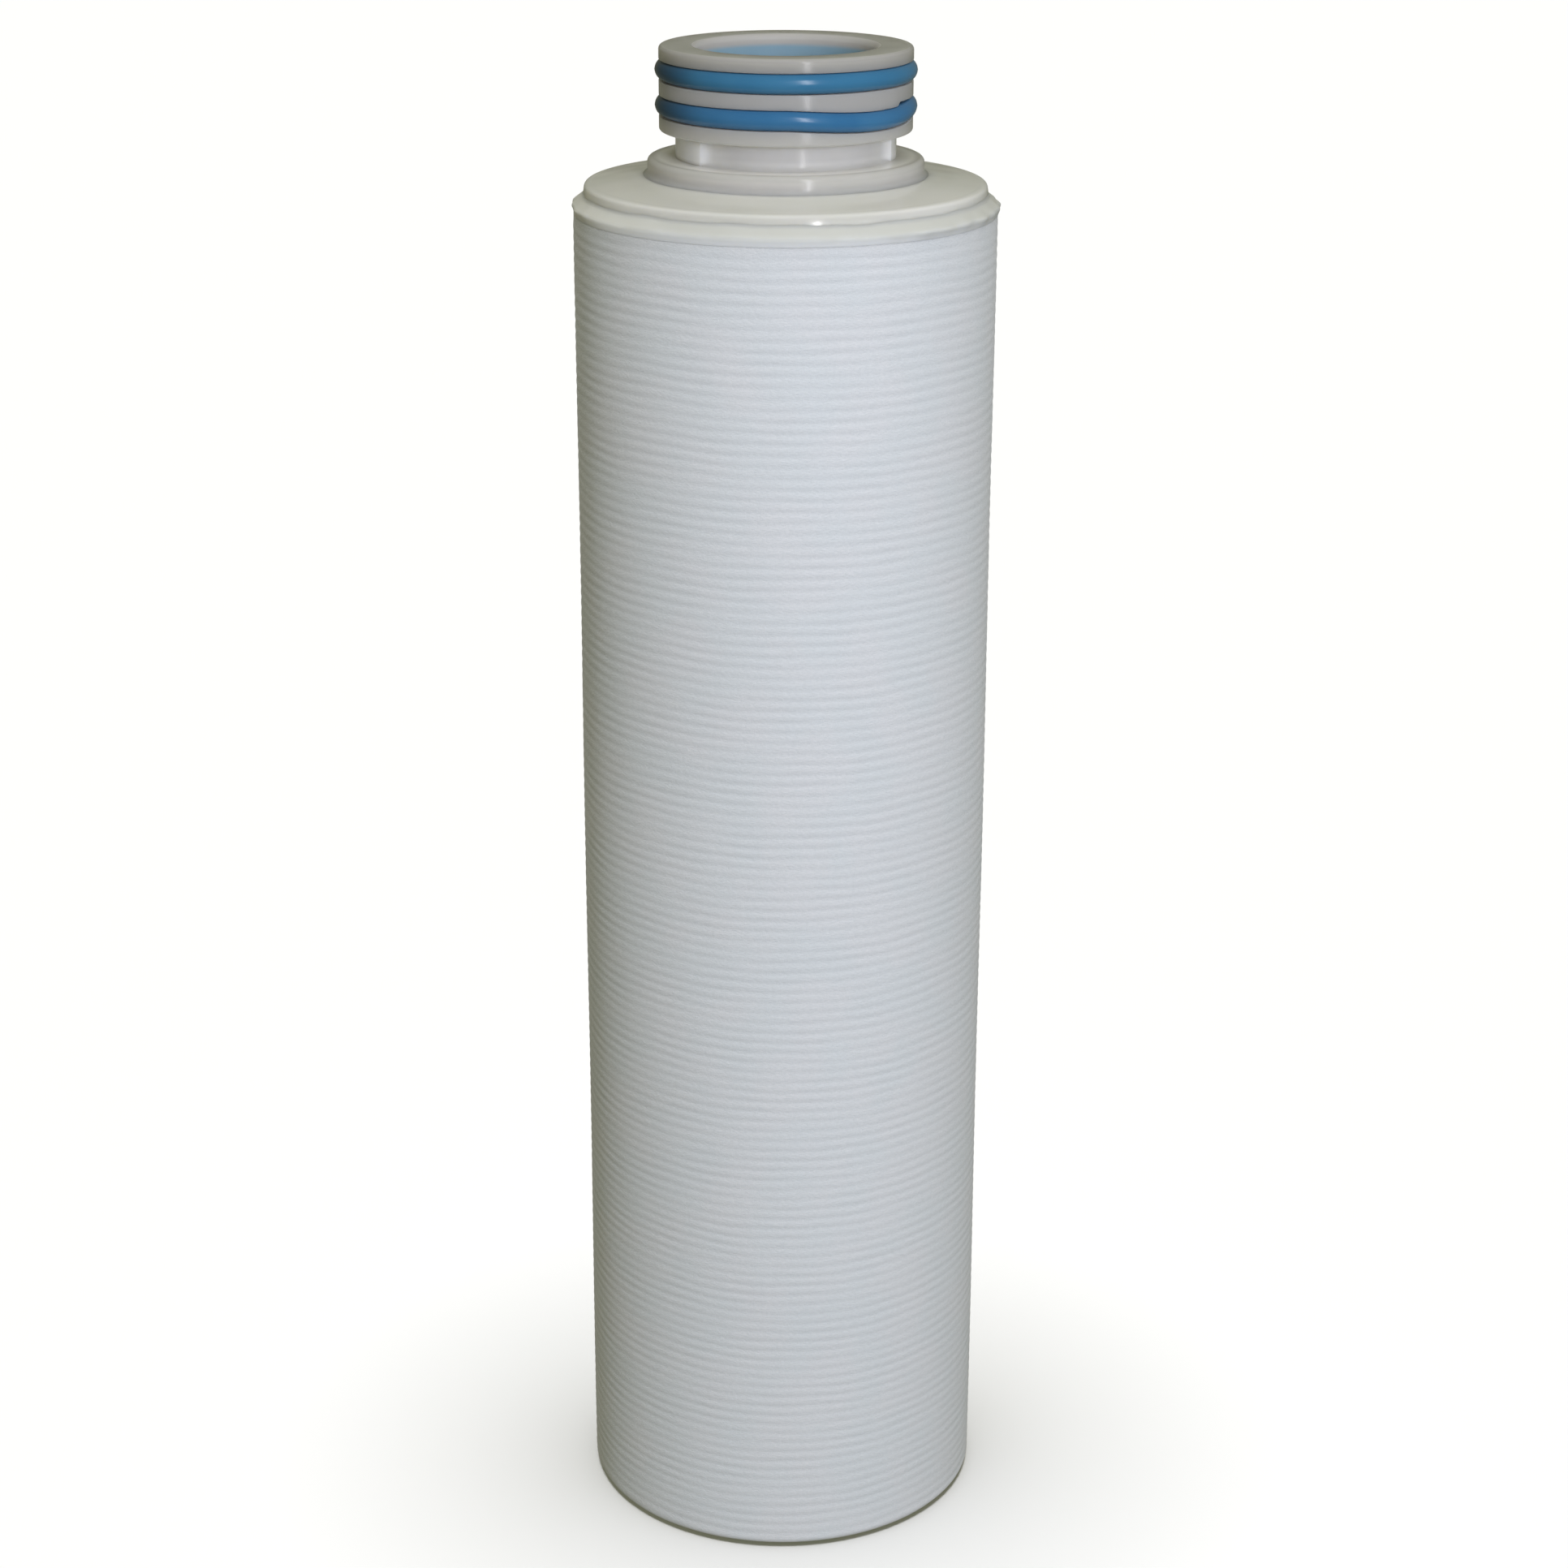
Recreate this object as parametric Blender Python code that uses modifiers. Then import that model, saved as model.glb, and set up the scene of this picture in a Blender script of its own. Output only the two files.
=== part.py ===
"""A depth filter cartridge with a double O-ring nozzle, standing upright on its closed end.

Blender 4.5, metres, +Z up along the cartridge's axis, origin at the centre of the base.
Every piece but the O-rings, the core's cage and the nozzle's two lobes is a turned profile.
"""

import math

import bmesh
import bpy

MM = 0.001
COLLECTION = "filter_cartridge"
GAP = 0.3 * MM  # between pieces that touch

# Driving dimensions. Heights are above the base plane.
OVERALL_HEIGHT = 274.5 * MM
MEDIA_RADIUS = 37.0 * MM
MEDIA_BOTTOM = 0.5 * MM
MEDIA_TOP = 246.2 * MM

# Nozzle, with two piston grooves for stretched size 222 O-rings.
RING_SECTION = 3.45 * MM
GROOVE_WIDTH = 3.8 * MM
RING_OUTER_RADIUS = 22.6 * MM
UPPER_RING_DROP = 4.1 * MM  # from the nozzle's top face to the ring's mid-plane
RING_SPACING = 6.0 * MM
LAND_RADIUS = 21.9 * MM
LOWER_LAND_DEPTH = 14.6 * MM  # from the top face to the underside of the lower land
NECK_RADIUS = 18.0 * MM
NECK_BASE_DEPTH = 18.9 * MM
LOBE_RADIUS = 19.1 * MM
LOBE_ARC = math.radians(60)
LOBE_TURN = math.radians(10.4)
LOBE_BURIED = 0.5 * MM  # how far a lobe runs on into the collar and the land
LOBE_ROOT = 1.5 * MM  # how far it runs into the neck
LOBE_STEPS = 8
COLLAR_RADIUS = 24.0 * MM
MOUTH_RADIUS = 15.5 * MM
MOUTH_ROUND = 0.8 * MM
OUTLET_RADIUS = 12.2 * MM
THROAT_BOTTOM = 0.5 * MM  # the throat's cone, above the spigot's underside
THROAT_TOP = 5.0 * MM
SPIGOT_RADIUS = 17.0 * MM
NOSE_RADIUS = 13.7 * MM
NOSE_LENGTH = 8.0 * MM
EDGE = 0.4 * MM  # usual edge rounding on the mouldings

# Top end cap.
CAP_FLAT_RADIUS = 24.6 * MM
CAP_FLAT_TOP = 252.6 * MM
CAP_DISC_RADIUS = 35.3 * MM
SHOULDER_START_RADIUS = 33.9 * MM
SHOULDER_START_TOP = 250.95 * MM
SHOULDER_DROP = 1.4 * MM
BEAD_RADIUS = 37.5 * MM
BEAD_MID = 247.4 * MM
BEAD_TOP = 248.9 * MM
BEAD_ROUND = 0.5 * MM

# Core and the layers wound or blown round it: inner radius, outer radius.
CORE_BORE = 14.0 * MM
CORE_WALL = 2.5 * MM
CORE_COLUMNS = 24
RIB_EVERY = 4  # one column in four is a standing rib, the rest are window
CORE_ROWS = 15
RING_RIB = 3.2 * MM
LAYERS = {
    "core_wrap": (16.8 * MM, 17.3 * MM),
    "inner_media_layer": (17.6 * MM, 22.4 * MM),
    "inner_flow_net": (22.7 * MM, 23.5 * MM),
    "middle_media_layer": (23.8 * MM, 28.9 * MM),
    "outer_flow_net": (29.2 * MM, 30.0 * MM),
}
SLEEVE_BORE = 30.3 * MM

# Bottom end cap, let into the sleeve's end.
BASE_RADIUS = 34.6 * MM
BASE_THICKNESS = 3.0 * MM
BASE_RECESS_RADIUS = 27.5 * MM
BASE_RECESS = 0.8 * MM
PLUG_WALL = 1.8 * MM
PLUG_FLOOR = 2.0 * MM
PLUG_HEIGHT = 8.0 * MM
GATE_RADIUS = 2.5 * MM

BODY_STEPS = 48
INNER_STEPS = 32


def clear_scene():
    for obj in list(bpy.data.objects):
        bpy.data.objects.remove(obj, do_unlink=True)


def collection(name):
    made = bpy.data.collections.new(name)
    bpy.context.scene.collection.children.link(made)
    return made


def plastic(name, colour, roughness):
    """A Principled material of one colour: nothing on this object is metal."""
    made = bpy.data.materials.new(name)
    made.use_nodes = True
    shader = made.node_tree.nodes["Principled BSDF"]
    shader.inputs["Base Color"].default_value = (*colour, 1.0)
    shader.inputs["Roughness"].default_value = roughness
    shader.inputs["Metallic"].default_value = 0.0
    return made


def add_object(name, mesh, material, target):
    obj = bpy.data.objects.new(name, mesh)
    obj.data.materials.append(material)
    target.objects.link(obj)
    return obj


def arc(centre, radius, start, end, steps):
    """Points (r, z) on an arc, by angle in degrees."""
    points = []
    for i in range(steps + 1):
        angle = math.radians(start + (end - start) * i / steps)
        points.append((centre[0] + radius * math.cos(angle), centre[1] + radius * math.sin(angle)))
    return points


def turned(name, profile, material, target, steps=BODY_STEPS, closed=True):
    """A turned piece. The profile is (r, z) points that run down the outer side, top to bottom;
    a profile that is not closed starts and ends on the axis."""
    mesh = bpy.data.meshes.new(name)
    count = len(profile)
    edges = [(i, i + 1) for i in range(count - 1)]
    if closed:
        edges.append((count - 1, 0))
    mesh.from_pydata([(r, 0.0, z) for r, z in profile], edges, [])
    obj = add_object(name, mesh, material, target)
    screw = obj.modifiers.new("turn", "SCREW")
    screw.axis = "Z"
    screw.angle = math.tau
    screw.steps = steps
    screw.render_steps = steps
    screw.use_merge_vertices = True
    screw.merge_threshold = 0.00001
    screw.use_smooth_shade = True
    return obj


def tube(name, inner, outer, bottom, top, material, target, steps=INNER_STEPS):
    profile = [(outer, top), (outer, bottom), (inner, bottom), (inner, top)]
    return turned(name, profile, material, target, steps)


def nozzle_profile():
    """The nozzle's half section, from the mouth's edge over the top and down the outside."""
    top = OVERALL_HEIGHT
    groove_floor = RING_OUTER_RADIUS - RING_SECTION - GAP
    half_groove = GROOVE_WIDTH / 2
    points = arc((MOUTH_RADIUS + MOUTH_ROUND, top - MOUTH_ROUND), MOUTH_ROUND, 180, 90, 3)
    points += arc((LAND_RADIUS - EDGE, top - EDGE), EDGE, 90, 0, 2)
    for k in range(2):
        middle = top - UPPER_RING_DROP - k * RING_SPACING
        points += [
            (LAND_RADIUS, middle + half_groove),
            (groove_floor, middle + half_groove),
            (groove_floor, middle - half_groove),
            (LAND_RADIUS, middle - half_groove),
        ]
    land_bottom = top - LOWER_LAND_DEPTH
    neck_base = top - NECK_BASE_DEPTH
    points += arc((LAND_RADIUS - EDGE, land_bottom + EDGE), EDGE, 0, -90, 2)
    points += [(NECK_RADIUS, land_bottom), (NECK_RADIUS, neck_base)]
    points += arc((COLLAR_RADIUS - EDGE, neck_base - EDGE), EDGE, 90, 0, 2)
    seat = CAP_FLAT_TOP + GAP
    spigot_end = MEDIA_TOP + GAP
    nose_end = spigot_end - NOSE_LENGTH
    points += [
        (COLLAR_RADIUS, seat),
        (SPIGOT_RADIUS, seat),
        (SPIGOT_RADIUS, spigot_end),
        (NOSE_RADIUS, spigot_end),
        (NOSE_RADIUS, nose_end),
        (OUTLET_RADIUS, nose_end),
        (OUTLET_RADIUS, spigot_end + THROAT_BOTTOM),
        (MOUTH_RADIUS, spigot_end + THROAT_TOP),
    ]
    return points


def lobe(name, turn, target):
    """One raised sector of the neck, a little sunk into the collar, the land and the neck."""
    low = OVERALL_HEIGHT - NECK_BASE_DEPTH - LOBE_BURIED
    high = OVERALL_HEIGHT - LOWER_LAND_DEPTH + LOBE_BURIED
    outline = bpy.data.curves.new(name, "CURVE")
    outline.dimensions = "2D"
    outline.fill_mode = "BOTH"
    outline.extrude = (high - low) / 2
    spline = outline.splines.new("POLY")
    angles = [turn + LOBE_ARC * (i / LOBE_STEPS - 0.5) for i in range(LOBE_STEPS + 1)]
    rim = [(LOBE_RADIUS, a) for a in angles]
    root = [(NECK_RADIUS - LOBE_ROOT, a) for a in reversed(angles)]
    spline.points.add(len(rim + root) - 1)
    for point, (radius, angle) in zip(spline.points, rim + root):
        point.co = (radius * math.cos(angle), radius * math.sin(angle), 0.0, 1.0)
    spline.use_cyclic_u = True
    curve = bpy.data.objects.new(name + "_outline", outline)
    curve.location = (0.0, 0.0, (low + high) / 2)
    target.objects.link(curve)
    bpy.context.view_layer.update()
    graph = bpy.context.evaluated_depsgraph_get()
    mesh = bpy.data.meshes.new_from_object(curve.evaluated_get(graph))
    weld(mesh)
    obj = bpy.data.objects.new(name, mesh)
    obj.matrix_world = curve.matrix_world.copy()
    target.objects.link(obj)
    bpy.data.objects.remove(curve, do_unlink=True)
    obj.hide_render = True
    obj.display_type = "WIRE"
    return obj


def weld(mesh):
    shape = bmesh.new()
    shape.from_mesh(mesh)
    bmesh.ops.remove_doubles(shape, verts=shape.verts, dist=0.00001)
    bmesh.ops.recalc_face_normals(shape, faces=shape.faces)
    shape.to_mesh(mesh)
    shape.free()


def make_nozzle(material, target, helpers):
    nozzle = turned("nozzle_adapter", nozzle_profile(), material, target)
    for side in range(2):
        piece = lobe(f"neck_lobe_{side + 1}", LOBE_TURN + side * math.pi, helpers)
        join = nozzle.modifiers.new(f"lobe_{side + 1}", "BOOLEAN")
        join.operation = "UNION"
        join.solver = "EXACT"
        join.object = piece


def make_o_rings(material, target):
    names = ("upper_o_ring", "lower_o_ring")
    for k, name in enumerate(names):
        height = OVERALL_HEIGHT - UPPER_RING_DROP - k * RING_SPACING
        bpy.ops.mesh.primitive_torus_add(
            major_radius=RING_OUTER_RADIUS - RING_SECTION / 2,
            minor_radius=RING_SECTION / 2,
            major_segments=BODY_STEPS,
            minor_segments=12,
            location=(0.0, 0.0, height),
        )
        ring = bpy.context.object
        ring.name = name
        ring.data.name = name
        ring.data.shade_smooth()
        ring.data.materials.append(material)
        for held in list(ring.users_collection):
            held.objects.unlink(ring)
        target.objects.link(ring)


def make_top_cap(material, target):
    """A plate with a shallow cone on top, a crease and a round shoulder at its edge."""
    hole = SPIGOT_RADIUS + GAP
    under = MEDIA_TOP + GAP
    crease = 0.25 * MM
    profile = [
        (hole, CAP_FLAT_TOP),
        (CAP_FLAT_RADIUS, CAP_FLAT_TOP),
        (SHOULDER_START_RADIUS - 2 * crease, SHOULDER_START_TOP),
        (SHOULDER_START_RADIUS - crease, SHOULDER_START_TOP - crease),
    ]
    shoulder_centre = (SHOULDER_START_RADIUS, SHOULDER_START_TOP - SHOULDER_DROP)
    profile += arc(shoulder_centre, CAP_DISC_RADIUS - SHOULDER_START_RADIUS, 90, 0, 4)
    profile += [(CAP_DISC_RADIUS, under), (hole, under)]
    turned("top_end_cap", profile, material, target)


def make_bond_bead(material, target):
    """The ring of melt pressed out round the cap's edge: a sloping back and a round nose."""
    inner = CAP_DISC_RADIUS + GAP
    under = MEDIA_TOP + GAP
    profile = [(inner, BEAD_TOP)]
    profile += arc((BEAD_RADIUS - BEAD_ROUND, BEAD_MID), BEAD_ROUND, 50, -40, 3)
    profile += [(MEDIA_RADIUS - BEAD_ROUND / 2, under), (inner, under)]
    turned("top_bond_bead", profile, material, target)


def make_core(material, target):
    """A cage: ring ribs and standing ribs left from a cylinder whose window faces are removed."""
    bottom = BASE_THICKNESS + GAP
    window = (MEDIA_TOP - bottom - (CORE_ROWS + 1) * RING_RIB) / CORE_ROWS
    heights = [bottom]
    for _ in range(CORE_ROWS):
        heights.append(heights[-1] + RING_RIB)
        heights.append(heights[-1] + window)
    heights.append(MEDIA_TOP)
    shape = bmesh.new()
    loops = []
    for height in heights:
        row = []
        for column in range(CORE_COLUMNS):
            angle = math.tau * column / CORE_COLUMNS
            place = (CORE_BORE * math.cos(angle), CORE_BORE * math.sin(angle), height)
            row.append(shape.verts.new(place))
        loops.append(row)
    for level in range(len(loops) - 1):
        is_window = level % 2 == 1
        for column in range(CORE_COLUMNS):
            if is_window and column % RIB_EVERY:
                continue
            after = (column + 1) % CORE_COLUMNS
            low, high = loops[level], loops[level + 1]
            shape.faces.new((low[column], low[after], high[after], high[column]))
    mesh = bpy.data.meshes.new("core_tube")
    shape.to_mesh(mesh)
    shape.free()
    core = add_object("core_tube", mesh, material, target)
    shell = core.modifiers.new("wall", "SOLIDIFY")
    shell.thickness = CORE_WALL
    shell.offset = 1.0
    shell.use_even_offset = True
    shell.use_rim = True


def make_layers(materials, target):
    for name, (inner, outer) in LAYERS.items():
        tube(name, inner, outer, BASE_THICKNESS + GAP, MEDIA_TOP, materials[name], target)


def make_sleeve(material, target):
    """The outer media, counterbored at its foot for the bottom cap."""
    counterbore = BASE_RADIUS + GAP
    round_over = 0.6 * MM
    profile = [(MEDIA_RADIUS, MEDIA_TOP)]
    foot = (MEDIA_RADIUS - round_over, MEDIA_BOTTOM + round_over)
    profile += arc(foot, round_over, 0, -90, 2)
    profile += [
        (counterbore, MEDIA_BOTTOM),
        (counterbore, BASE_THICKNESS + GAP),
        (SLEEVE_BORE, BASE_THICKNESS + GAP),
        (SLEEVE_BORE, MEDIA_TOP),
    ]
    turned("outer_media_sleeve", profile, material, target)


def make_bottom_cap(material, target):
    """A closed plate with a cup that centres the core, and a shallow recess and gate underneath."""
    plug_top = BASE_THICKNESS + PLUG_HEIGHT
    gate_end = BASE_RECESS / 2
    profile = [
        (0.0, BASE_RECESS + PLUG_FLOOR),
        (NOSE_RADIUS - PLUG_WALL, BASE_RECESS + PLUG_FLOOR),
        (NOSE_RADIUS - PLUG_WALL, plug_top),
        (NOSE_RADIUS - EDGE, plug_top),
        (NOSE_RADIUS, plug_top - EDGE),
        (NOSE_RADIUS, BASE_THICKNESS),
    ]
    profile += arc((BASE_RADIUS - EDGE, BASE_THICKNESS - EDGE), EDGE, 90, 0, 2)
    profile += arc((BASE_RADIUS - EDGE, EDGE), EDGE, 0, -90, 2)
    profile += [
        (BASE_RECESS_RADIUS + BASE_RECESS, 0.0),
        (BASE_RECESS_RADIUS, BASE_RECESS),
        (GATE_RADIUS, BASE_RECESS),
        (GATE_RADIUS, gate_end),
        (0.0, gate_end),
    ]
    turned("bottom_end_cap", profile, material, target, closed=False)


def main():
    clear_scene()
    parts = collection(COLLECTION)
    helpers = collection("helpers")
    natural = plastic("natural_polypropylene", (0.62, 0.61, 0.56), 0.35)
    cage = plastic("core_polypropylene", (0.78, 0.78, 0.75), 0.45)
    melt = plastic("fused_polypropylene", (0.72, 0.71, 0.68), 0.55)
    silicone = plastic("blue_silicone", (0.05, 0.16, 0.36), 0.4)
    media = plastic("melt_blown_media", (0.80, 0.82, 0.84), 0.95)
    wrap = plastic("spunbond_wrap", (0.84, 0.85, 0.86), 0.9)
    net = plastic("polypropylene_net", (0.75, 0.76, 0.76), 0.5)
    layer_materials = {
        "core_wrap": wrap,
        "inner_media_layer": media,
        "inner_flow_net": net,
        "middle_media_layer": media,
        "outer_flow_net": net,
    }
    make_bottom_cap(natural, parts)
    make_core(cage, parts)
    make_layers(layer_materials, parts)
    make_sleeve(media, parts)
    make_top_cap(natural, parts)
    make_bond_bead(melt, parts)
    make_nozzle(natural, parts, helpers)
    make_o_rings(silicone, parts)


main()
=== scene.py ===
"""Looks for a depth filter cartridge with a double O-ring nozzle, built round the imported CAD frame.

Everything is in metres, +Z up, with the origin under the middle of the cartridge.
"""

import math

import bmesh
import bpy
import numpy as np
from mathutils import Matrix, Vector


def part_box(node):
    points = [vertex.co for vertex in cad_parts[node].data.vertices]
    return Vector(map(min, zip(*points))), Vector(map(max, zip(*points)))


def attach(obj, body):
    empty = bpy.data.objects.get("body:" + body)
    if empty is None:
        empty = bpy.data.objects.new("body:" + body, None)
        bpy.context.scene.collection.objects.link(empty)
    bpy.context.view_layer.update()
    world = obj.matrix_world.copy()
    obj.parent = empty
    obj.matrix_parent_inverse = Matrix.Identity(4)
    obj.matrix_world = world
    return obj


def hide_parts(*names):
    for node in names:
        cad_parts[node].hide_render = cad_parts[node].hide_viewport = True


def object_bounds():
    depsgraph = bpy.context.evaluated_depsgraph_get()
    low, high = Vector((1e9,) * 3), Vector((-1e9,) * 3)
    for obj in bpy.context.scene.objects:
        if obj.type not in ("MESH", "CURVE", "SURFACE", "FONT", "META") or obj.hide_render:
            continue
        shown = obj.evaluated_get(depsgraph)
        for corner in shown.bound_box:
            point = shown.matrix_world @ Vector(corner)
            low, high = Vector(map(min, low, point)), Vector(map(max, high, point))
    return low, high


MM = 0.001
BODY = "root"

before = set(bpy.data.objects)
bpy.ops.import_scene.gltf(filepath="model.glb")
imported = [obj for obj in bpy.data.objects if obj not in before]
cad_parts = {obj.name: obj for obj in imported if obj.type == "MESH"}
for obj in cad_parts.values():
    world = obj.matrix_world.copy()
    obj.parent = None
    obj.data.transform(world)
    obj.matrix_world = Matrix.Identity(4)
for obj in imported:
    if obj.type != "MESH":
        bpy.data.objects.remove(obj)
cad_low, cad_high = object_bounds()


def top_of(node):
    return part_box(node)[1].z


def bottom_of(node):
    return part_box(node)[0].z


def middle_of(node):
    return (top_of(node) + bottom_of(node)) / 2


def radius_of(node):
    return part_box(node)[1].x


# Sizes from the frame.
MEDIA_RADIUS = radius_of("outer_media_sleeve")
MEDIA_TOP = top_of("outer_media_sleeve")
MEDIA_BOTTOM = bottom_of("outer_media_sleeve")
CAP_RADIUS = radius_of("top_end_cap")
CAP_TOP = top_of("top_end_cap")
NOZZLE_TOP = top_of("nozzle_adapter")
NOZZLE_BOTTOM = bottom_of("nozzle_adapter")
COLLAR_RADIUS = radius_of("nozzle_adapter")
BEAD_RADIUS = radius_of("top_bond_bead")
BEAD_TOP = top_of("top_bond_bead")
RING_RADIUS = radius_of("upper_o_ring")
BASE_RADIUS = radius_of("bottom_end_cap")

# Sizes the frame's boxes don't hold, as in the CAD model.
GAP = 0.3 * MM
LAND_RADIUS = 21.9 * MM
LOWER_LAND = NOZZLE_TOP - 14.4 * MM
NECK_BASE = NOZZLE_TOP - 18.9 * MM
NECK_RADIUS = 18.0 * MM
LOBE_RADIUS = 19.1 * MM
LOBE_HALF_ARC = math.radians(30)
LOBE_TURN = math.radians(10.4)
LOBE_FOOT = math.radians(6.5)
GROOVE_WIDTH = 3.5 * MM
RING_SECTION = 3.45 * MM
GROOVE_FLOOR = RING_RADIUS - RING_SECTION - GAP / 2
MOUTH_RADIUS = 15.5 * MM
OUTLET_RADIUS = 12.2 * MM
NOSE_RADIUS = 13.7 * MM
SPIGOT_RADIUS = 17.0 * MM
SPIGOT_END = MEDIA_TOP + GAP
SHOULDER_RADIUS = 33.9 * MM
SHOULDER_TOP = 250.95 * MM
BEAD_MID = 247.4 * MM
SLEEVE_BORE = 30.3 * MM
CORE_BORE = 14.0 * MM
CORE_RADIUS = 16.5 * MM
WRAP_BORE = 16.75 * MM
INNER_NET_BORE = 22.7 * MM
OUTER_NET_BORE = 29.2 * MM

# The lower O-ring sits low in its groove on the right.
SLIP = 0.78 * MM
SLIP_TURN = math.radians(-44)
SLIP_HALF_ARC = math.radians(46)
FLASH_END = math.radians(-30)

# The bond bead is thickest on the right, and flush at the front.
CREST_TURN = math.radians(-30)
CREST_HALF_ARC = math.radians(36)
FLUSH_TURN = math.radians(-100)
FLUSH_HALF_ARC = math.radians(65)

# The rings on the media: one groove in a long left-handed helix.
RIDGE_PITCH = 1.946 * MM
GROOVE_DEPTH = 0.085 * MM

# How finely the meshes are divided.
RIDGE_STEPS = 8
MEDIA_COLUMNS = 96
FINE_COLUMNS = 192

# Soft skins start this far inside their CAD solid, which leaves room for swells and laps.
SWELL_ROOM = 0.12 * MM


# ---- meshes -------------------------------------------------------------------------------------


def rounded(corners, arc_steps=4):
    """A profile from corners (r, z, fillet radius), with an arc in place of each filleted corner."""
    points = []
    count = len(corners)
    for i, (r, z, fillet) in enumerate(corners):
        here = Vector((r, z))
        back = Vector(corners[i - 1][:2]) - here
        ahead = Vector(corners[(i + 1) % count][:2]) - here
        if fillet == 0 or back.length == 0 or ahead.length == 0:
            points.append((r, z))
            continue
        half = back.angle(ahead) / 2
        reach = min(fillet / math.tan(half), 0.48 * back.length, 0.48 * ahead.length)
        radius = reach * math.tan(half)
        start = here + back.normalized() * reach
        end = here + ahead.normalized() * reach
        inward = (back.normalized() + ahead.normalized()).normalized()
        centre = here + inward * (radius / math.sin(half))
        first = start - centre
        last = end - centre
        sweep = first.angle(last)
        turn = math.copysign(1, first.x * last.y - first.y * last.x)
        for k in range(arc_steps + 1):
            angle = turn * sweep * k / arc_steps
            x = first.x * math.cos(angle) - first.y * math.sin(angle)
            y = first.x * math.sin(angle) + first.y * math.cos(angle)
            points.append((centre.x + x, centre.y + y))
    return points


def circle_profile(radius, height, section, steps):
    """A round section, clockwise from its top, so that its faces point out when turned."""
    points = []
    for k in range(steps):
        angle = math.pi / 2 - math.tau * k / steps
        points.append((radius + section / 2 * math.cos(angle), height + section / 2 * math.sin(angle)))
    return points


def even_angles(count):
    return np.arange(count) * math.tau / count


def turn_from(centre, angle, period=math.tau):
    """The angle measured from centre, wrapped to within half a period of it."""
    return (angle - centre + period / 2) % period - period / 2


def turned(name, profile, angles, shape=None, closed=True):
    """A turned mesh. The profile runs down the outer side, top to bottom, and an open one starts and
    ends on the axis. shape(r, z, angle) takes arrays and returns new r and z, for anything that isn't
    perfectly round."""
    r, z = (np.array(v, float)[:, None] * np.ones(len(angles)) for v in zip(*profile))
    a = np.ones(len(profile))[:, None] * np.asarray(angles, float)
    if shape:
        r, z = shape(r, z, a)
    points = np.stack([r * np.cos(a), r * np.sin(a), z], -1)
    if not closed:
        points = points[1:-1]
    rows, columns = points.shape[:2]
    verts = points.reshape(-1, 3).tolist()
    faces = []
    for i in range(rows if closed else rows - 1):
        here = i * columns
        below = (i + 1) % rows * columns
        for j in range(columns):
            k = (j + 1) % columns
            faces.append((here + j, below + j, below + k, here + k))
    if not closed:
        top_pole = len(verts)
        bottom_pole = top_pole + 1
        verts += [(0.0, 0.0, float(z[0, 0])), (0.0, 0.0, float(z[-1, 0]))]
        foot = (rows - 1) * columns
        for j in range(columns):
            k = (j + 1) % columns
            faces.append((top_pole, j, k))
            faces.append((foot + j, bottom_pole, foot + k))
    mesh = bpy.data.meshes.new(name)
    mesh.from_pydata(verts, [], faces)
    mesh.update()
    return mesh


def finished_mesh(name, shape):
    """A mesh made from a bmesh, which is freed."""
    mesh = bpy.data.meshes.new(name)
    shape.to_mesh(mesh)
    shape.free()
    return mesh


def piece(name, mesh, node, material, sharp=None):
    """One finished piece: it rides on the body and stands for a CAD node. Edges
    sharper than the angle sharp, in degrees, are not smoothed."""
    obj = bpy.data.objects.new(name, mesh)
    bpy.context.scene.collection.objects.link(obj)
    mesh.materials.append(material)
    mesh.shade_smooth()
    if sharp:
        mesh.set_sharp_from_angle(angle=math.radians(sharp))
    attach(obj, BODY)
    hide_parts(node)
    return obj


def waves(angle, terms, seed):
    """A smooth closed curve of the angle from -1 to 1: a few sine waves with seeded phases."""
    random = np.random.RandomState(seed)
    total = np.zeros_like(angle)
    weight = 0.0
    for count in terms:
        share = random.uniform(0.5, 1.0)
        total += share * np.sin(count * angle + random.uniform(0, math.tau))
        weight += share
    return total / weight


def bell(value, centre, width):
    """1 at the centre, falling smoothly to nothing a few widths away."""
    return np.exp(-(((value - centre) / width) ** 2))


def smooth_step(value, low, high):
    """0 up to low and 1 from high on, with a smooth rise between."""
    t = np.clip((value - low) / (high - low), 0, 1)
    return t * t * (3 - 2 * t)


# ---- materials ----------------------------------------------------------------------------------


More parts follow.
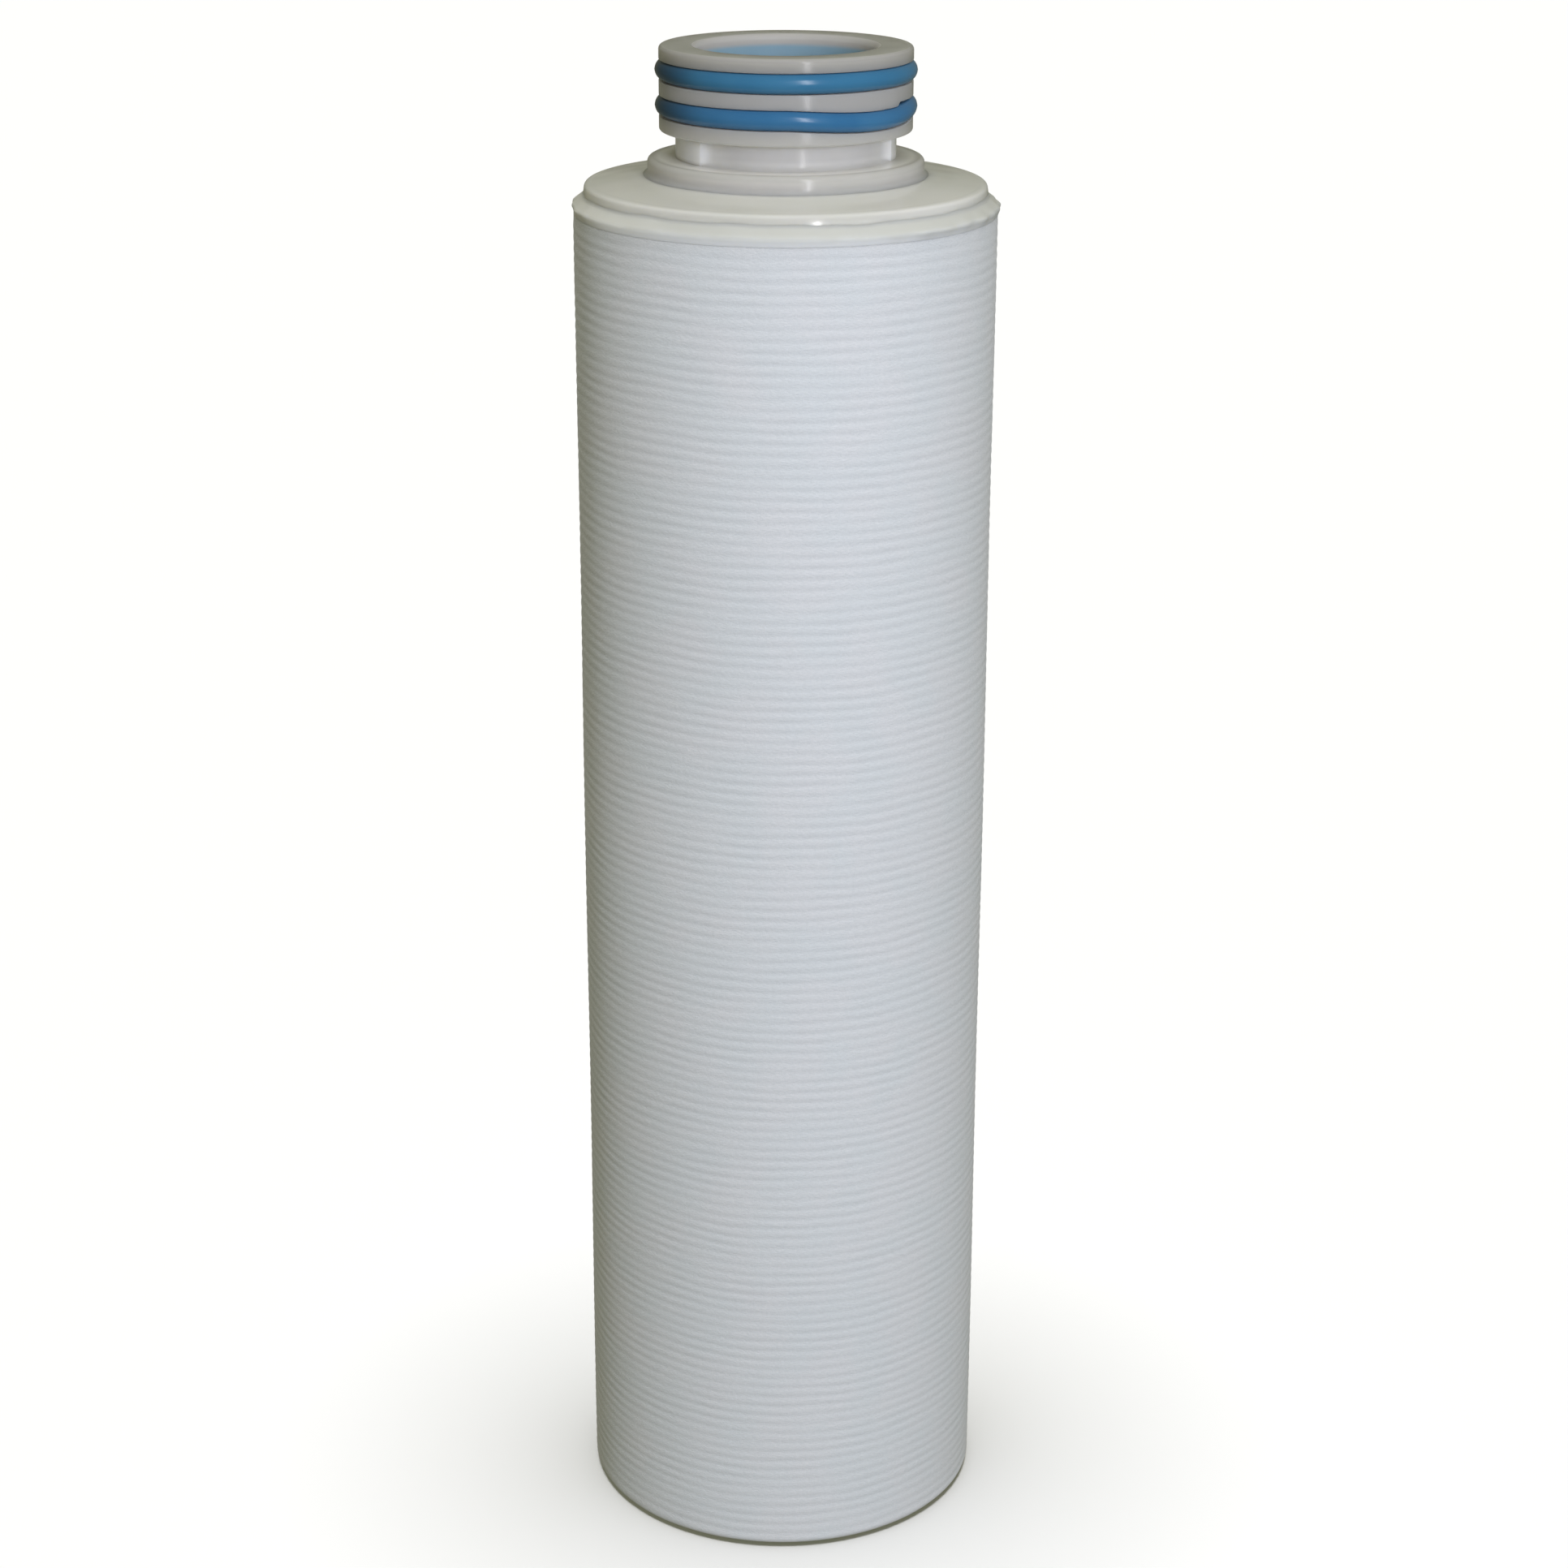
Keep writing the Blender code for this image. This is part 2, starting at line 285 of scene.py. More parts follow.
class Graph:
    """A material's node tree, with a Principled shader at its end."""

    def __init__(self, name):
        self.material = bpy.data.materials.new(name)
        self.material.use_nodes = True
        self.tree = self.material.node_tree
        self.shader = self.tree.nodes["Principled BSDF"]
        self.place = self.node("ShaderNodeTexCoord").outputs["Object"]

    def node(self, kind, inputs=None, **settings):
        """A new node with these inputs and settings."""
        made = self.tree.nodes.new(kind)
        for key, value in settings.items():
            setattr(made, key, value)
        for key, value in (inputs or {}).items():
            self.put(made.inputs[key], value)
        return made

    def put(self, socket, value):
        """Links an output to the socket, or sets its plain value."""
        if isinstance(value, bpy.types.NodeSocket):
            self.tree.links.new(value, socket)
        else:
            socket.default_value = value

    def set(self, **inputs):
        """Sets inputs of the Principled shader, with _ for each space in an input's name."""
        for key, value in inputs.items():
            self.put(self.shader.inputs[key.replace("_", " ")], value)

    def maths(self, operation, a, b=0.0):
        return self.node("ShaderNodeMath", {0: a, 1: b}, operation=operation).outputs[0]

    def times(self, first, *others):
        """The product of two or more values."""
        product = first
        for value in others:
            product = self.maths("MULTIPLY", product, value)
        return product

    def stretch(self, scale):
        """Object coordinates scaled along each axis. A noise is drawn out where the scale is smallest."""
        return self.node("ShaderNodeMapping", {"Vector": self.place, "Scale": scale}).outputs[0]

    def noise(self, scale, detail=2.0, roughness=0.5, distortion=0.0, vector=None):
        inputs = {
            "Vector": vector or self.place,
            "Scale": scale,
            "Detail": detail,
            "Roughness": roughness,
            "Distortion": distortion,
        }
        return self.node("ShaderNodeTexNoise", inputs).outputs["Fac"]

    def between(self, value, low, high, bottom=0.0, top=1.0):
        """A smooth rise of value from low to high, given as bottom to top."""
        inputs = {
            "Value": value,
            "From Min": low,
            "From Max": high,
            "To Min": bottom,
            "To Max": top,
        }
        made = self.node("ShaderNodeMapRange", inputs, interpolation_type="SMOOTHSTEP")
        return made.outputs[0]

    def mix(self, factor, a, b):
        """Colour a at factor 0, and colour b at factor 1."""
        made = self.node("ShaderNodeMix", data_type="RGBA")
        factor_in, a_in, b_in, colour_out = 0, 6, 7, 2
        self.put(made.inputs[factor_in], factor)
        self.put(made.inputs[a_in], a)
        self.put(made.inputs[b_in], b)
        return made.outputs[colour_out]

    def bump(self, height, distance, strength, below=None):
        """A normal that follows the height, on top of the normal given as below."""
        inputs = {"Height": height, "Distance": distance, "Strength": strength}
        if below:
            inputs["Normal"] = below
        return self.node("ShaderNodeBump", inputs).outputs[0]

    def axes(self):
        """The x, y and z of a point, in metres from the origin."""
        parts = self.node("ShaderNodeSeparateXYZ", {0: self.place})
        return parts.outputs[0], parts.outputs[1], parts.outputs[2]

    def radius(self):
        """The distance from the cartridge's axis."""
        x, y, _ = self.axes()
        return self.maths("SQRT", self.maths("ADD", self.times(x, x), self.times(y, y)))


def colour(r, g, b):
    """Linear colour with full alpha."""
    return (r, g, b, 1.0)


def media_material():
    """Bonded melt-blown fibre: matt, faintly blue white, mottled, with painted shade down in the grooves.
    """
    g = Graph("bonded_fibre")
    groove = g.node("ShaderNodeAttribute", attribute_name="groove").outputs["Fac"]
    cloud = g.noise(90.0, detail=3.0)
    fleck = g.noise(1500.0, detail=2.0, roughness=0.65, vector=g.stretch((1.0, 1.0, 2.2)))
    fibre = g.noise(2600.0, detail=3.0, roughness=0.7, distortion=1.5, vector=g.stretch((1.0, 1.0, 3.5)))
    base = g.mix(g.between(cloud, 0.35, 0.65), colour(0.80, 0.835, 0.865), colour(0.825, 0.84, 0.868))
    base = g.mix(g.between(fleck, 0.3, 0.7, 0.0, 0.55), base, colour(0.74, 0.77, 0.795))
    # Painted shade: the colour darkens with each groove's depth, in place of the shade down in the
    # grooves.
    base = g.mix(g.times(groove, 0.09), base, colour(0.52, 0.55, 0.56))
    normal = g.bump(fleck, 0.12 * MM, 0.7)
    normal = g.bump(fibre, 0.05 * MM, 0.8, normal)
    g.set(Base_Color=base, Roughness=0.95, Specular_IOR_Level=0.15, Normal=normal)
    g.set(Subsurface_Weight=0.5, Subsurface_Scale=1.0 * MM, Subsurface_Radius=(1.0, 1.0, 1.0))
    g.set(Sheen_Weight=0.12, Sheen_Roughness=0.6)
    return g.material


def plastic_finish(g, base, roughness, depth, weight):
    """The satin of an unpolished mould, with light carried to this depth under the surface."""
    ripple = g.noise(110.0, detail=0.0)
    worn = g.maths("ADD", g.between(g.noise(150.0, detail=0.0), 0.3, 0.7, -0.02, 0.04), roughness)
    g.set(Base_Color=base, Roughness=worn, Normal=g.bump(ripple, 0.04 * MM, 0.25))
    g.set(IOR=1.49, Specular_IOR_Level=0.5)
    g.set(Subsurface_Weight=weight, Subsurface_Scale=depth, Subsurface_Radius=(1.0, 0.95, 0.85))


def cap_material():
    """Natural polypropylene, a little cream. Painted light makes it paler round the collar's foot, where
    shade would fall, towards both sides, and down the edge."""
    g = Graph("natural_cap_plastic")
    cloud = g.noise(45.0, detail=1.0)
    base = g.mix(g.between(cloud, 0.35, 0.65), colour(0.61, 0.61, 0.57), colour(0.635, 0.625, 0.595))
    # Painted light: paler round the collar's foot, where shade would fall.
    collar_painted_light = g.between(g.radius(), COLLAR_RADIUS + 0.5 * MM, COLLAR_RADIUS + 4.0 * MM, 0.35, 0.0)
    base = g.mix(collar_painted_light, base, colour(0.80, 0.80, 0.75))
    x, _, z = g.axes()
    # Painted light: paler towards the left and right of the plate.
    left = g.between(x, -30.0 * MM, -14.0 * MM, 0.5, 0.0)
    right = g.between(x, 14.0 * MM, 30.0 * MM, 0.0, 0.5)
    base = g.mix(g.maths("MAXIMUM", left, right), base, colour(0.75, 0.75, 0.71))
    # Painted light: paler down the outer edge under the shoulder, where the wall would fall into shade.
    wall = g.between(z, SHOULDER_TOP - 1.6 * MM, SHOULDER_TOP - 0.6 * MM, 0.8, 0.0)
    base = g.mix(wall, base, colour(0.82, 0.82, 0.77))
    plastic_finish(g, base, 0.15, 4.0 * MM, 0.9)
    return g.material


def nozzle_painted_tones():
    """Bands of painted light and shade up the nozzle's height, each as its start, its end and the colour
    above it: paler at the collar's top, the neck's foot and just under the lower land, where shade
    falls, darker on the collar's upper wall, and stepping greyer up the lands to the lip, where light
    is lost into the bore.
    """
    return [
        (NECK_BASE - 1.3 * MM, NECK_BASE - 0.7 * MM, colour(0.44, 0.435, 0.415)),
        (NECK_BASE - 0.35 * MM, NECK_BASE - 0.02 * MM, colour(0.68, 0.67, 0.64)),
        (NECK_BASE + 0.8 * MM, NECK_BASE + 1.8 * MM, colour(0.585, 0.575, 0.555)),
        (LOWER_LAND - 1.6 * MM, LOWER_LAND - 0.5 * MM, colour(0.66, 0.65, 0.62)),
        (LOWER_LAND - 0.2 * MM, LOWER_LAND + 0.3 * MM, colour(0.455, 0.45, 0.43)),
        (LOWER_LAND + 0.8 * MM, LOWER_LAND + 3.0 * MM, colour(0.415, 0.41, 0.40)),
        (NOZZLE_TOP - 3.6 * MM, NOZZLE_TOP - 2.2 * MM, colour(0.365, 0.36, 0.345)),
        (NOZZLE_TOP - 0.8 * MM, NOZZLE_TOP - 0.5 * MM, colour(0.32, 0.315, 0.305)),
        (NOZZLE_TOP - 0.12 * MM, NOZZLE_TOP - 0.02 * MM, colour(0.38, 0.38, 0.365)),
    ]


def neck_sides_painted_light(g):
    """How much painted light pales the neck at its left and right, where its walls are seen edge on."""
    x, _, z = g.axes()
    below_land = g.between(z, LOWER_LAND - 0.8 * MM, LOWER_LAND - 0.2 * MM, 1.0, 0.0)
    above_collar = g.between(z, NECK_BASE - 0.1 * MM, NECK_BASE + 0.8 * MM)
    left = g.between(x, -8 * MM, -17 * MM)
    right = g.between(x, 14 * MM, 19 * MM, 0.0, 0.7)
    return g.times(below_land, above_collar, g.maths("MAXIMUM", left, right))


def collar_rim_painted_shade(g):
    """1 on the outer part of the collar's top face, where painted shade tones down the light its rounded
    edge catches.
    """
    z = g.axes()[2]
    above_edge = g.between(z, NECK_BASE - 0.9 * MM, NECK_BASE - 0.5 * MM)
    below_neck = g.between(z, NECK_BASE, NECK_BASE + 0.1 * MM, 1.0, 0.0)
    outer = g.between(g.radius(), COLLAR_RADIUS - 2.2 * MM, COLLAR_RADIUS - 0.9 * MM)
    return g.times(above_edge, below_neck, outer)


def ring_shadow(g):
    """1 at the height of either O-ring, with a blurred edge: where the rings' painted blue shade shows
    through the bore's wall.
    """
    z = g.axes()[2]
    blur = 0.9 * MM
    shadow = 0.0
    for node in ("upper_o_ring", "lower_o_ring"):
        start = g.between(z, bottom_of(node) - blur, bottom_of(node))
        end = g.between(z, top_of(node), top_of(node) + blur, 1.0, 0.0)
        shadow = g.maths("MAXIMUM", shadow, g.times(start, end))
    return shadow


def nozzle_material():
    """The same plastic in thinner walls, with painted shade: greyer towards the open end, where light is
    lost into the bore, darker inside the mouth, and blue inside where the O-rings show through the
    wall. Painted light pales the neck's sides."""
    g = Graph("natural_nozzle_plastic")
    z = g.axes()[2]
    cloud = g.noise(70.0, detail=1.0)
    base = g.mix(g.between(cloud, 0.35, 0.65), colour(0.485, 0.48, 0.455), colour(0.50, 0.49, 0.47))
    # Painted light and shade, in bands up the height.
    for start, end, tone in nozzle_painted_tones():
        base = g.mix(g.between(z, start, end), base, tone)
    # Painted light: the neck's left and right walls paler.
    base = g.mix(neck_sides_painted_light(g), base, colour(0.96, 0.95, 0.91))
    # Painted shade on the collar's rounded top edge.
    base = g.mix(collar_rim_painted_shade(g), base, colour(0.42, 0.415, 0.395))
    inside = g.between(g.radius(), MOUTH_RADIUS + 0.3 * MM, MOUTH_RADIUS + 1.0 * MM, 1.0, 0.0)
    # Painted shade: the bore's wall darker inside the mouth.
    base = g.mix(g.times(inside, 0.5), base, colour(0.46, 0.45, 0.44))
    # Painted shade: the O-rings' blue showing through the bore's wall at their heights.
    base = g.mix(g.times(ring_shadow(g), inside, 0.75), base, colour(0.19, 0.36, 0.47))
    plastic_finish(g, base, g.between(inside, 0.0, 1.0, 0.17, 0.42), 5.0 * MM, 1.0)
    return g.material


def bead_material():
    """Remelted plastic, cloudy, and whiter at its ragged foot, where the media has soaked it up. Painted
    light pales its left side and its lowest flank."""
    g = Graph("fused_bead_plastic")
    cloud = g.noise(130.0, detail=4.0, roughness=0.6)
    x, _, z = g.axes()
    ragged = g.maths("ADD", z, g.times(g.maths("SUBTRACT", cloud, 0.5), 1.6 * MM))
    clear = g.between(ragged, MEDIA_TOP + 0.1 * MM, BEAD_MID + 0.9 * MM)
    base = g.mix(clear, colour(0.70, 0.72, 0.73), colour(0.61, 0.615, 0.575))
    # Painted light: paler on the lowest flank, which turns down away from the light.
    foot = g.between(z, MEDIA_TOP - 0.3 * MM, MEDIA_TOP + 0.9 * MM, 0.7, 0.0)
    base = g.mix(foot, base, colour(0.90, 0.92, 0.93))
    # Painted light: paler on the left side.
    side = g.between(x, -33.0 * MM, -16.0 * MM, 0.45, 0.0)
    base = g.mix(side, base, colour(0.93, 0.93, 0.88))
    plastic_finish(g, base, 0.42, 1.5 * MM, 0.6)
    return g.material


def rubber_material():
    """Blue silicone: satin, with a faint bloom. Painted shade makes it darker and less shiny on the left,
    and the upper ring is a little greener than the lower one."""
    g = Graph("blue_silicone_rubber")
    bloom = g.noise(120.0, detail=1.0)
    dust = g.noise(3200.0, detail=2.0)
    x, _, z = g.axes()
    base = g.mix(g.between(bloom, 0.3, 0.7), colour(0.040, 0.170, 0.37), colour(0.052, 0.195, 0.40))
    upper = g.between(z, top_of("lower_o_ring"), bottom_of("upper_o_ring"), 0.0, 0.35)
    base = g.mix(upper, base, colour(0.055, 0.245, 0.41))
    # Painted shade on the left ends, which also reflect less there.
    left_painted_shade = g.between(x, -22 * MM, -13 * MM, 1.0, 0.0)
    base = g.mix(left_painted_shade, base, colour(0.035, 0.085, 0.155))
    shine = g.maths("SUBTRACT", 0.5, g.times(left_painted_shade, 0.42))
    normal = g.bump(dust, 0.004 * MM, 0.4)
    rough = g.between(bloom, 0.3, 0.7, 0.20, 0.24)
    g.set(Base_Color=base, Roughness=rough, Normal=normal, IOR=1.43, Specular_IOR_Level=shine)
    g.set(Subsurface_Weight=0.1, Subsurface_Scale=0.8 * MM, Subsurface_Radius=(0.3, 0.6, 1.0))
    return g.material


def core_material():
    """The core's plainer moulding, seen down the bore."""
    g = Graph("core_moulding")
    cloud = g.noise(60.0, detail=3.0)
    base = g.mix(g.between(cloud, 0.35, 0.65), colour(0.66, 0.66, 0.63), colour(0.71, 0.705, 0.68))
    plastic_finish(g, base, 0.42, 2.0 * MM, 0.5)
    return g.material


def wrap_material():
    """Spunbond sheet: fine random fibre with a grid of small pressed bond points."""
    g = Graph("spunbond_sheet")
    x, y, z = g.axes()
    turn = g.times(g.maths("ARCTAN2", y, x), radius_of("core_wrap"))
    flat = g.node("ShaderNodeCombineXYZ", {0: turn, 1: z}).outputs[0]
    cells = g.node("ShaderNodeTexVoronoi", {"Vector": flat, "Scale": 700.0, "Randomness": 0.15})
    point = g.between(cells.outputs["Distance"], 0.18, 0.30, 1.0, 0.0)
    fibre = g.noise(1800.0, detail=4.0, roughness=0.7, distortion=2.0)
    base = g.mix(g.between(fibre, 0.3, 0.7), colour(0.74, 0.74, 0.73), colour(0.86, 0.86, 0.86))
    base = g.mix(g.times(point, 0.4), base, colour(0.62, 0.62, 0.60))
    normal = g.bump(fibre, 0.05 * MM, 0.7)
    normal = g.bump(g.maths("SUBTRACT", 1.0, point), 0.06 * MM, 0.8, normal)
    g.set(Base_Color=base, Roughness=0.85, Specular_IOR_Level=0.2, Normal=normal)
    return g.material


def net_material():
    """Extruded netting: smooth glossy strands."""
    g = Graph("extruded_net")
    drawn = g.noise(900.0, detail=2.0, vector=g.stretch((1.0, 1.0, 0.2)))
    base = g.mix(g.between(drawn, 0.3, 0.7), colour(0.68, 0.69, 0.68), colour(0.76, 0.76, 0.75))
    g.set(Base_Color=base, Roughness=0.35, Normal=g.bump(drawn, 0.02 * MM, 0.5))
    return g.material


# ---- the cartridge ------------------------------------------------------------------------------


def media_rings(z, angle):
    """The helix on the media's outer wall, from 0 on a ridge to 1 at the bottom of a deep groove. It
    wanders up and down a little, and it is shallower in patches."""
    wander = 0.10 * waves(angle, (2, 5, 9), 3) + 0.05 * np.sin(z / (9 * MM) + 3 * angle)
    wander = wander + 0.07 * np.sin(z / (2.3 * MM) + 13 * angle) * np.sin(z / (7.9 * MM) - 5 * angle)
    turn = (z - MEDIA_BOTTOM) / RIDGE_PITCH + angle / math.tau + wander
    groove = ((1 + np.cos(math.tau * turn)) / 2) ** 1.5
    patchy = 0.65 + 0.35 * np.sin(z / (3.1 * MM) + 7 * angle) * np.sin(z / (5.3 * MM) - 11 * angle)
    return groove * patchy


def make_sleeve(material):
    """The outer media: its ringed wall, its round foot, and the counterbore that takes the bottom cap.
    It is smooth and round just under the bead, where it is fused."""
    edge = 1.0 * MM
    counterbore = BASE_RADIUS + GAP
    ledge = bottom_of("core_wrap")
    rows = int((MEDIA_TOP - MEDIA_BOTTOM) / RIDGE_PITCH * RIDGE_STEPS)
    heights = np.linspace(MEDIA_TOP, MEDIA_BOTTOM + edge, rows)
    wall = [(MEDIA_RADIUS, h) for h in heights]
    foot = []
    foot_steps = 4
    for k in range(1, foot_steps + 1):
        angle = math.pi / 2 * k / foot_steps
        inward = edge * (1 - math.cos(angle))
        above = edge * (1 - math.sin(angle))
        foot.append((MEDIA_RADIUS - inward, MEDIA_BOTTOM + above))
    inside = [
        ((MEDIA_RADIUS - edge + counterbore) / 2, MEDIA_BOTTOM),
        (counterbore, MEDIA_BOTTOM),
        (counterbore, ledge),
        (SLEEVE_BORE, ledge),
        (SLEEVE_BORE, MEDIA_TOP),
    ]
    ringed_rows = len(wall) + foot_steps // 2
    grooves = []

    def shape(r, z, angle):
        free = 1 - smooth_step(z, MEDIA_TOP - 2.5 * MM, MEDIA_TOP - 0.5 * MM)
        free[ringed_rows:] = 0
        groove = media_rings(z, angle) * free
        swell = 0.10 * MM * waves(angle, (2, 3, 4), 11)
        swell = (swell + 0.06 * MM * np.sin(z / (17 * MM) + 2 * angle)) * free
        grooves.append(groove)
        return r - SWELL_ROOM * (r > SLEEVE_BORE + MM) + swell - GROOVE_DEPTH * groove, z

    mesh = turned("media_sleeve", wall + foot + inside, even_angles(MEDIA_COLUMNS), shape)
    depth = mesh.attributes.new("groove", "FLOAT", "POINT")
    depth.data.foreach_set("value", grooves[0].astype(np.float32).ravel())
    return piece("media_sleeve", mesh, "outer_media_sleeve", material, 60)


def make_cap(material):
    """The top plate: a shallow cone, a crease that comes and goes, and a round outer edge."""
    hole = SPIGOT_RADIUS + GAP
    slope_end = SHOULDER_RADIUS - 0.55 * MM
    crease = slope_end + 0.3 * MM
    corners = [
        (hole, CAP_TOP, 0.2 * MM),
        (COLLAR_RADIUS + 0.6 * MM, CAP_TOP, 1.5 * MM),
        (slope_end, SHOULDER_TOP + 0.3 * MM, 3.0 * MM),
        (crease, SHOULDER_TOP + 0.27 * MM, 0.0),
        (crease + 0.45 * MM, SHOULDER_TOP + 0.22 * MM, 0.0),
        (CAP_RADIUS - 0.35 * MM, SHOULDER_TOP, 1.6 * MM),
        (CAP_RADIUS, BEAD_TOP - 0.3 * MM, 0.0),
        (CAP_RADIUS, MEDIA_TOP + GAP, 0.0),
        (hole, MEDIA_TOP + GAP, 0.0),
    ]

    def shape(r, z, angle):
        upper_side = z > MEDIA_TOP + 2 * MM
        uneven = 0.05 * MM * waves(angle, (2, 3, 5), 21) * smooth_step(r, hole, CAP_RADIUS)
        depth = 0.05 * MM * (0.5 + 0.5 * waves(angle, (3, 4, 7), 23))
        return r, z + upper_side * (uneven - depth * bell(r, crease, 0.25 * MM))

    mesh = turned("cap_plate", rounded(corners), even_angles(FINE_COLUMNS), shape)
    return piece("cap_plate", mesh, "top_end_cap", material, 50)


def make_bead(material):
    """The melt pressed out between cap and media. It is nearly flush with the media at the front and
    swells into lumps elsewhere, with a thick stretch on the right and one nick."""
    inner = CAP_RADIUS - 0.3 * MM
    outer = MEDIA_RADIUS - 0.1 * MM
    foot = MEDIA_TOP - 0.4 * MM
    corners = [
        (inner, BEAD_TOP + 1.0 * MM, 0.0),
        (CAP_RADIUS + 0.04 * MM, BEAD_TOP + 0.15 * MM, 1.4 * MM),
        (outer, BEAD_MID, 1.4 * MM),
        (outer, MEDIA_TOP - 0.1 * MM, 0.05 * MM),
        (outer - 0.5 * MM, foot, 0.0),
        (inner, foot, 0.0),
    ]

    def shape(r, z, angle):
        outward = smooth_step(r, CAP_RADIUS, outer)
        from_crest = np.abs(turn_from(CREST_TURN, angle))
        from_flush = np.abs(turn_from(FLUSH_TURN, angle))
        crest = 1 - smooth_step(from_crest, 0.6 * CREST_HALF_ARC, CREST_HALF_ARC)
        around = smooth_step(from_flush, 0.7 * FLUSH_HALF_ARC, FLUSH_HALF_ARC)
        lumps = 0.65 + 0.35 * waves(angle, (17, 29, 41), 33)
        swell = np.maximum(crest, 0.9 * around) * lumps * (BEAD_RADIUS - MEDIA_RADIUS + 0.3 * MM)
        swell = swell * bell(z, BEAD_MID + 0.2 * MM, 1.0 * MM)
        ripple = 0.04 * MM * waves(angle, (3, 7, 12, 19), 31)
        nick = 0.35 * MM * bell(angle, math.radians(186), math.radians(3))
        edge = 0.16 * MM * waves(angle, (4, 9, 15, 26), 37) * (z > BEAD_MID)
        return np.minimum(r + (swell + ripple - nick) * outward, BEAD_RADIUS), z + edge

    mesh = turned("bond_bead", rounded(corners, 6), even_angles(2 * FINE_COLUMNS), shape)
    return piece("bond_bead", mesh, "top_bond_bead", material, 40)


def lobe_height(angle):
    """1 on the neck's two raised sectors, and a concave slope down to 0 outside their edges."""
    away = np.abs(turn_from(LOBE_TURN, angle, math.pi))
    slope = np.clip((away - LOBE_HALF_ARC) / LOBE_FOOT, 0, 1)
    return (1 - slope) ** 2.4


def nozzle_angles():
    """Even columns, with closer ones across the four edges of the neck's raised sectors."""
    closest = math.radians(0.12)
    extra = []
    for centre in (LOBE_TURN, LOBE_TURN + math.pi):
        for side in (-1, 1):
            for outward in (-0.3, -0.1, 0.0, 0.25, 0.6, 1.1, 1.6):
                extra.append(centre + side * (LOBE_HALF_ARC + math.radians(outward)))
    every = np.sort(np.concatenate([even_angles(FINE_COLUMNS), np.array(extra) % math.tau]))
    return every[np.append(np.diff(every) > closest, True)]


def make_nozzle(material):
    """Lip, two O-ring grooves, lands, necked waist with its raised sectors, collar and spigot."""
    seat = CAP_TOP - 0.45 * MM
    corners = [
        (MOUTH_RADIUS, NOZZLE_TOP, 1.1 * MM),
        (LAND_RADIUS, NOZZLE_TOP, 0.7 * MM),
    ]
    for node in ("upper_o_ring", "lower_o_ring"):
        middle = middle_of(node)
        corners += [
            (LAND_RADIUS, middle + GROOVE_WIDTH / 2, 0.12 * MM),
            (GROOVE_FLOOR, middle + GROOVE_WIDTH / 2, 0.25 * MM),
            (GROOVE_FLOOR, middle - GROOVE_WIDTH / 2, 0.25 * MM),
            (LAND_RADIUS, middle - GROOVE_WIDTH / 2, 0.12 * MM),
        ]
    corners += [
        (LAND_RADIUS, LOWER_LAND, 0.5 * MM),
        (NECK_RADIUS, LOWER_LAND, 0.6 * MM),
        (NECK_RADIUS, NECK_BASE, 1.0 * MM),
        (COLLAR_RADIUS, NECK_BASE, 0.9 * MM),
        (COLLAR_RADIUS, seat + 0.8 * MM, 1.2 * MM),
        (COLLAR_RADIUS + 1.6 * MM, seat, 0.1 * MM),
        (SPIGOT_RADIUS, seat, 0.0),
        (SPIGOT_RADIUS, SPIGOT_END, 0.3 * MM),
        (NOSE_RADIUS, SPIGOT_END, 0.2 * MM),
        (NOSE_RADIUS, NOZZLE_BOTTOM, 0.5 * MM),
        (OUTLET_RADIUS, NOZZLE_BOTTOM, 0.3 * MM),
        (OUTLET_RADIUS, SPIGOT_END + 0.5 * MM, 0.5 * MM),
        (MOUTH_RADIUS, SPIGOT_END + 5.0 * MM, 1.0 * MM),
    ]

    def shape(r, z, angle):
        waist = (z > NECK_BASE + 0.01 * MM) & (z < LOWER_LAND - 0.01 * MM) & (r > NECK_RADIUS - MM)
        lobes = NECK_RADIUS + (LOBE_RADIUS - NECK_RADIUS) * lobe_height(angle)
        up = z - middle_of("lower_o_ring")
        outside = r > GROOVE_FLOOR - MM
        lower_wall = (up < 0) & (up > -GROOVE_WIDTH) & outside
        upper_wall = (up > 0) & (up < GROOVE_WIDTH / 2 + 0.2 * MM) & outside
        flash = 1 - smooth_step(turn_from(0.0, angle), FLASH_END, FLASH_END + math.radians(2))
        slip = ring_slip(angle) * (lower_wall + flash * upper_wall)
        return np.where(waist, np.maximum(r, lobes), r), z - slip

    mesh = turned("nozzle", rounded(corners, 5), nozzle_angles(), shape)
    return piece("nozzle", mesh, "nozzle_adapter", material, 40)


def ring_slip(angle):
    """How far the lower O-ring has slipped down its groove, which is wider there, on one side."""
    share = np.clip(turn_from(SLIP_TURN, angle) / SLIP_HALF_ARC, -1, 1)
    window = np.cos(share * math.pi / 2) ** 1.4
    return SLIP * window


def make_ring(name, node, material, slip):
    """An O-ring with the faint line its mould leaves round the outside."""
    middle = middle_of(node)
    centre = RING_RADIUS - RING_SECTION / 2
    line_height = 0.03 * MM
    profile = circle_profile(centre, middle, RING_SECTION, 40)

    def shape(r, z, angle):
        around_section = np.arctan2(z - middle, r - centre)
        line = line_height * bell(around_section, 0.0, 0.05)
        sway = 0.03 * MM * waves(angle, (2, 3, 5), len(name))
        return r - line_height + line, z + sway - slip(angle)

    mesh = turned(name, profile, even_angles(2 * FINE_COLUMNS), shape)
    return piece(name, mesh, node, material)


